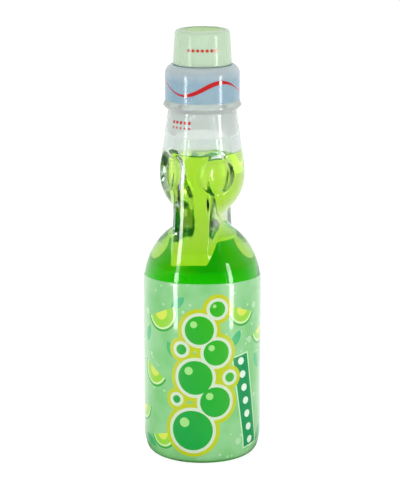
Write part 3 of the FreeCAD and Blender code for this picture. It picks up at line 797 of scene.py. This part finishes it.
def labelPrint():
    material, tree, shader = startMaterial("labelPrint", {
        "IOR": labelSheet["ior"], "Coat Weight": 1.0, "Coat Roughness": labelSheet["coatRoughness"]})
    radius = bottle["side"] + label["skin"]
    around, up = wrapCoords(tree, radius)
    around = repeat(tree, around, pi * radius)  # the print comes twice round the bottle
    spot = addNode(tree, "CombineXYZ", {0: around, 1: up}).outputs[0]
    cloud = spread(tree, noise(tree, labelArt["groundClouds"], 2.0), *labelArt["groundBand"])
    surface = lay(tree, *labelArt["ground"], cloud)
    for scale, size in labelArt["specks"]:
        specks = addNode(tree, "TexVoronoi", {"Vector": spot, "Scale": scale}).outputs["Distance"]
        surface = lay(tree, surface, labelArt["speck"], within(tree, specks, size))
    # painted shade: a darker green band along the label's foot
    surface = lay(tree, surface, labelArt["footShadeTone"], within(tree, up, labelArt["hem"]))
    for place in labelArt["leaves"]:
        surface = layLeaf(tree, surface, spot, *place)
    for place in labelArt["slices"]:
        surface = layMelonSlice(tree, surface, spot, *place)
    surface = layRibbon(tree, surface, spot)
    surface = layBubbles(tree, surface, spot, around, up)
    tree.links.new(surface, shader.inputs["Base Color"])
    dullness = spread(tree, noise(tree, labelSheet["mottle"], 2.0), *midNoise, *labelSheet["roughness"])
    tree.links.new(dullness, shader.inputs["Roughness"])
    addWaves(tree, shader, labelSheet, 2.0)

    # the print lets little light out, its plain green back lets much in
    inside = addNode(tree, "NewGeometry").outputs["Backfacing"]
    paler = spread(tree, noise(tree, labelSheet["patches"], 1.0), *labelSheet["patchBand"])
    backing = lay(tree, labelSheet["back"], labelSheet["paleBack"], paler)
    backing = lay(tree, labelSheet["lowBack"], backing, spread(tree, up, *labelSheet["lowBackTop"]))
    through = addNode(tree, "BsdfTranslucent", {"Color": backing})
    share = spread(tree, inside, 0.0, 1.0, *labelSheet["letThrough"])
    sheet = addNode(tree, "MixShader", {0: share, 1: shader.outputs[0], 2: through.outputs[0]})
    tree.links.new(sheet.outputs[0], tree.nodes["Material Output"].inputs["Surface"])
    return material


makeBottle(clearThrough("bottleGlass", glassLook, innerFaces))
makeDrink(clearThrough("melonDrink", drinkLook))
makeMouthpiece(mouldedPlastic("spoutPlastic"))
makeCapRing(mouldedPlastic("capPlastic"))
makePlunger(mouldedPlastic("plungerPlastic"))
filmBack = clearBack()
makeCapFilm(shrinkFilm("capFilm", capWrap, cap["topRadius"], capPrint), filmBack)
makeNeckFilm(shrinkFilm("neckFilm", neckWrap, spout["side"], neckPrint), filmBack)
makeLabel(labelPrint(), filmBack)
for nodeName, finish in (("marble", marbleGlass()), ("gasket", gasketRubber())):
    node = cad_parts[nodeName]
    node.data.materials.clear()
    node.data.materials.append(finish)
print("pieces done")


# Floor, light and camera
studio = {
    "world": (0.67, 0.67, 0.67, 1),
    "mirrored": (0.05, 0.7), "mirroredDim": (0.03, 0.08, 0.03, 1),
    "through": (-0.6, 0.15), "throughDim": (0.006, 0.17, 0.004, 1),
    "floorReach": 6.0, "floorDrop": 0.05, "floorMatt": (0.8, 0.8, 0.8, 1),
    "floorDim": (0.08, 0.08, 0.08, 1), "floorPaper": (0.3, 0.3, 0.3, 1), "floorGlow": 0.86,
    "top": 0.9, "topSize": 0.9, "topPlace": (0.0, -0.15, 1.1),
    "stripAway": 0.27, "stripWidth": 0.04, "stripBreaks": (0.004, 0.168, 0.244),
    "leftStrip": -51.0, "leftGlow": (13.0, 5.0), "rightStrip": 56.0, "rightGlow": (12.5, 9.0),
    "sensor": 36, "lens": 170.68, "cameraPlace": (0, -1.143, 0.3692),
    "cameraDip": 13.11, "cameraPan": 0.058,
}


def makeFloor():
    bm = bmesh.new()
    bmesh.ops.create_grid(bm, x_segments=2, y_segments=2, size=studio["floorReach"])
    bmesh.ops.translate(bm, verts=bm.verts[:], vec=(0, 0, -studio["floorDrop"] * mm))
    mesh = bpy.data.meshes.new("paleFloor")
    bm.to_mesh(mesh)
    bm.free()
    floor = bpy.data.objects.new("paleFloor", mesh)
    bpy.context.scene.collection.objects.link(floor)
    material = bpy.data.materials.new("paleFloor")
    material.use_nodes = True
    tree = material.node_tree
    tree.nodes.clear()
    rays = addNode(tree, "LightPath").outputs
    # behind the bottle its reflections see white paper, in front they see dim floor
    aim = addNode(tree, "VectorMath", {0: objectCoords(tree)}, operation="NORMALIZE").outputs[0]
    behind = spread(tree, addNode(tree, "SeparateXYZ", {0: aim}).outputs[1], *studio["mirrored"])
    seen = calc(tree, "MAXIMUM", rays["Is Camera Ray"], rays["Is Transmission Ray"])
    seen = calc(tree, "MAXIMUM", seen, both(tree, rays["Is Glossy Ray"], behind))
    matt, dim, paper = [addNode(tree, "BsdfDiffuse", {"Color": studio[shade]}).outputs[0]
                        for shade in ("floorMatt", "floorDim", "floorPaper")]
    glow = addNode(tree, "Emission", {"Color": plainWhite, "Strength": studio["floorGlow"]}).outputs[0]
    shown = addNode(tree, "AddShader", {0: paper, 1: glow}).outputs[0]
    unseen = addNode(tree, "MixShader", {0: rays["Is Glossy Ray"], 1: matt, 2: dim}).outputs[0]
    either = addNode(tree, "MixShader", {0: seen, 1: unseen, 2: shown}).outputs[0]
    addNode(tree, "OutputMaterial", {"Surface": either})
    mesh.materials.append(material)


# White behind the bottle, dim in front of it, as its reflections show; even for soft light
def makeWorld():
    world = bpy.data.worlds.new("paleStudio")
    bpy.context.scene.world = world
    world.use_nodes = True
    tree = world.node_tree
    rays = addNode(tree, "LightPath").outputs
    aim = addNode(tree, "SeparateXYZ", {0: addNode(tree, "TexCoord").outputs["Generated"]})
    shade = studio["world"]
    for ray, reach, dim in (("Is Glossy Ray", studio["mirrored"], studio["mirroredDim"]),
                            ("Is Transmission Ray", studio["through"], studio["throughDim"])):
        backdrop = lay(tree, dim, plainWhite, spread(tree, aim.outputs[1], *reach))
        shade = lay(tree, shade, backdrop, rays[ray])
    sky = tree.nodes["Background"]
    tree.links.new(lay(tree, shade, plainWhite, rays["Is Camera Ray"]), sky.inputs["Color"])


def makeLamp(name, width, height, glow):
    lamp = bpy.data.lights.new(name, "AREA")
    lamp.shape = "RECTANGLE"
    lamp.size, lamp.size_y = width, height
    lamp.energy = glow * pi * lamp.size * lamp.size_y
    holder = bpy.data.objects.new(name, lamp)
    bpy.context.scene.collection.objects.link(holder)
    return holder


# A tall narrow lamp, which fades towards its upper end
def makeStrip(name, azimuth, glows):
    turn, away = radians(azimuth), studio["stripAway"]
    for glow, low, high in zip(glows, studio["stripBreaks"], studio["stripBreaks"][1:]):
        strip = makeLamp(name, studio["stripWidth"], high - low, glow)
        strip.location = (away * sin(turn), -away * cos(turn), (low + high) / 2)
        strip.rotation_euler = (radians(90), 0, turn)


def makeCamera():
    lens = bpy.data.cameras.new("photoCamera")
    lens.sensor_width = studio["sensor"]
    lens.lens = studio["lens"]
    camera = bpy.data.objects.new("photoCamera", lens)
    camera.location = studio["cameraPlace"]
    camera.rotation_euler = (radians(90 - studio["cameraDip"]), 0, radians(studio["cameraPan"]))
    bpy.context.scene.collection.objects.link(camera)
    bpy.context.scene.camera = camera


makeFloor()
makeWorld()
makeStrip("leftStrip", studio["leftStrip"], studio["leftGlow"])
makeStrip("rightStrip", studio["rightStrip"], studio["rightGlow"])
makeLamp("topBox", studio["topSize"], studio["topSize"], studio["top"]).location = studio["topPlace"]
makeCamera()
bpy.context.scene.view_settings.view_transform = "Standard"
light = bpy.context.scene.cycles  # light crosses many clear walls before it leaves the bottle
light.max_bounces, light.transmission_bounces, light.glossy_bounces = 32, 32, 16
print("studio ready")

bpy.context.view_layer.update()
